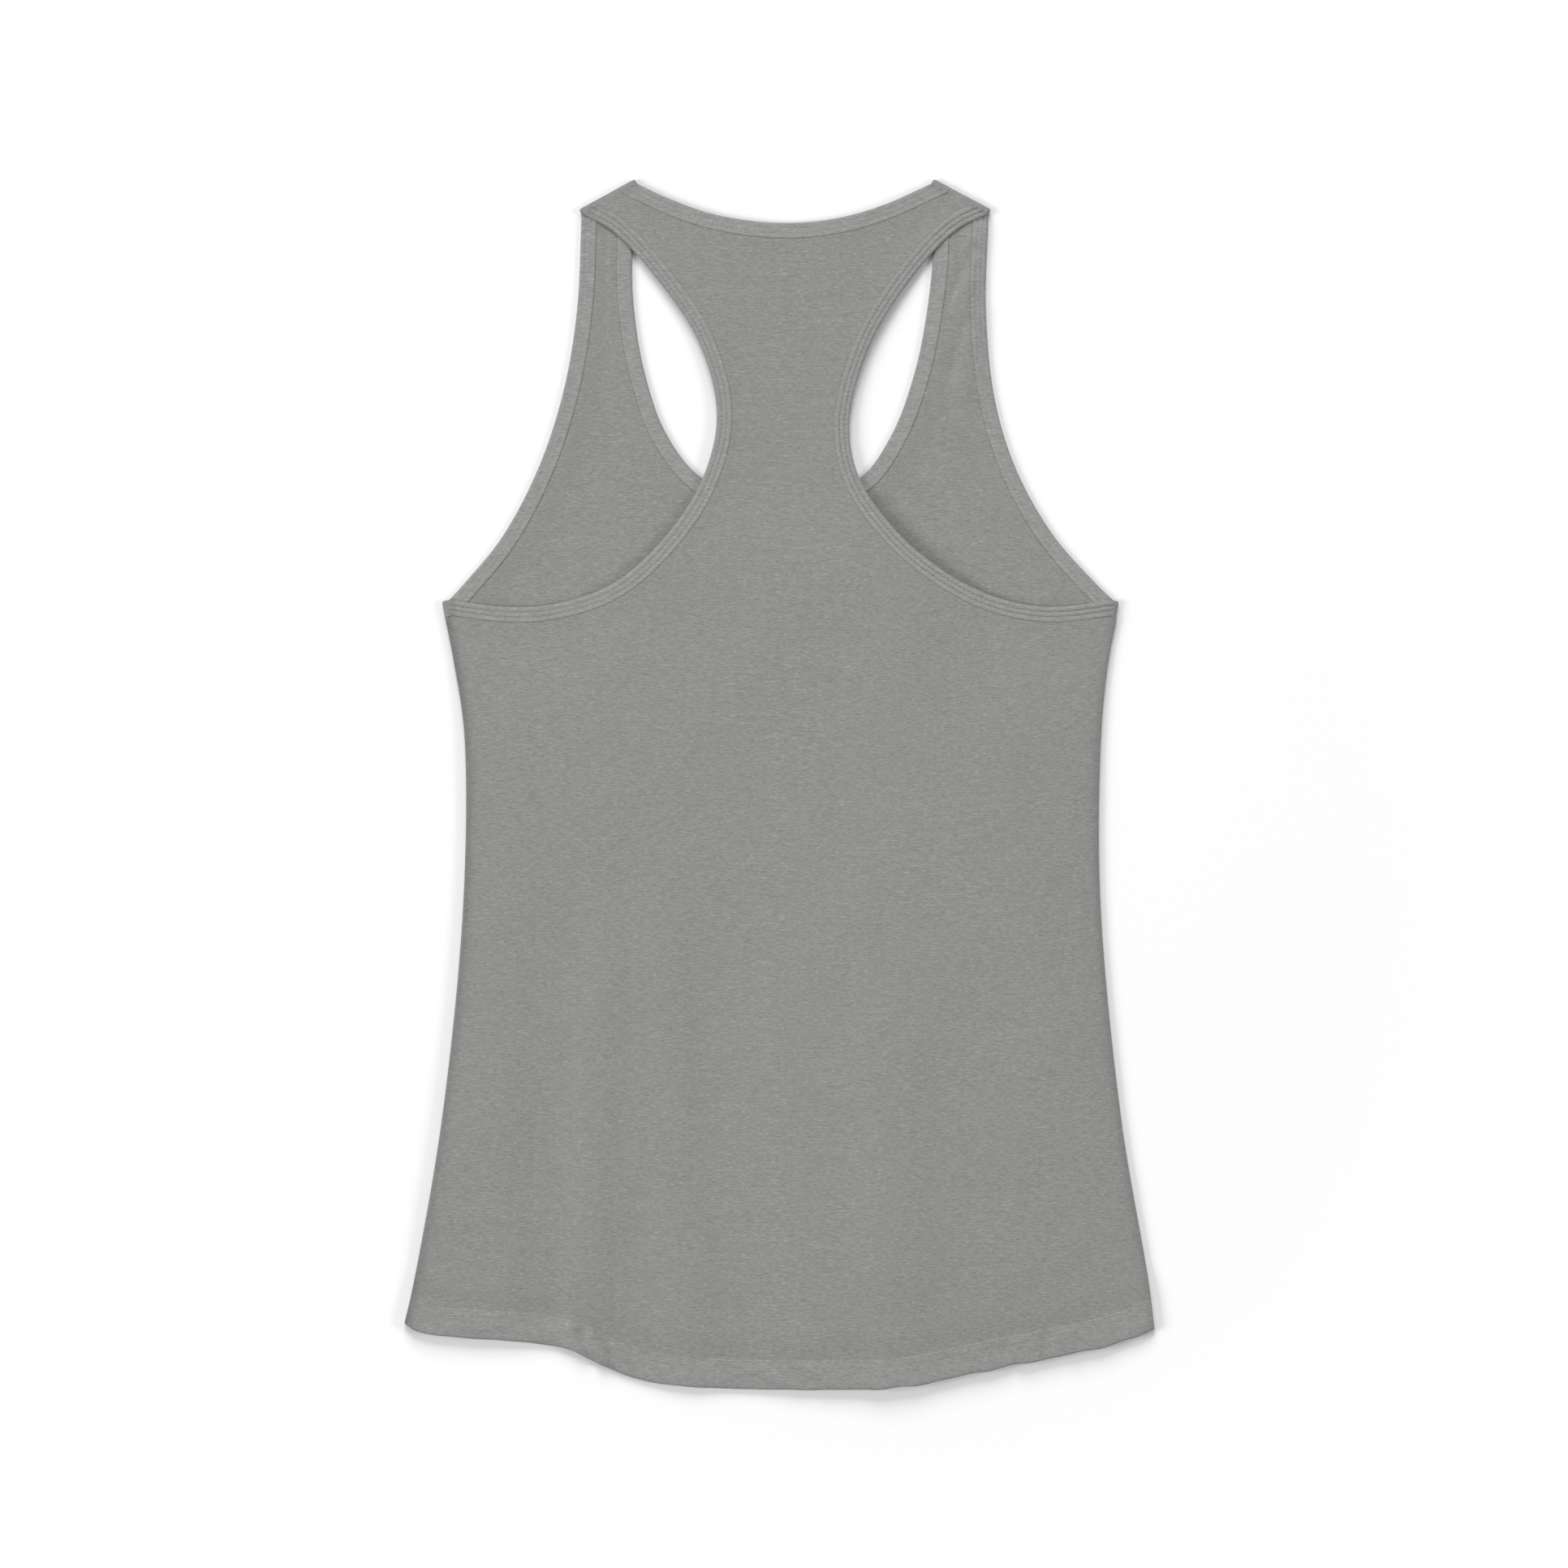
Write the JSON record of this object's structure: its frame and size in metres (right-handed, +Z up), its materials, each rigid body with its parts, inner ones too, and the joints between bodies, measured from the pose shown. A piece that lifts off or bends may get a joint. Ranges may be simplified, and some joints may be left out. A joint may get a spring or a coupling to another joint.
{
  "type": "racerback tank top",
  "caption": "Sleeveless racerback tank top in heather jersey, laid flat with its back up, with bound neck and armholes and a stitched hem.",
  "frame": {"origin": "middle of the bounding box in X and Y, on the surface the garment lies on (Z = 0)", "axes": "+Y from the hem to the neck, +Z up from the surface out of the back panel, +X to the right as seen from above with the neck away from the viewer"},
  "size_m": [0.4204, 0.6786, 0.0093],
  "materials": {
    "jersey": "matt grey heather jersey knit",
    "binding": "matt grey heather jersey, folded strip with twin stitching"
  },
  "bodies": {
    "root": {"front_panel": "jersey", "back_panel": "jersey", "neck_binding": "binding", "armhole_binding_left": "binding", "armhole_binding_right": "binding"}
  },
  "joints": []
}
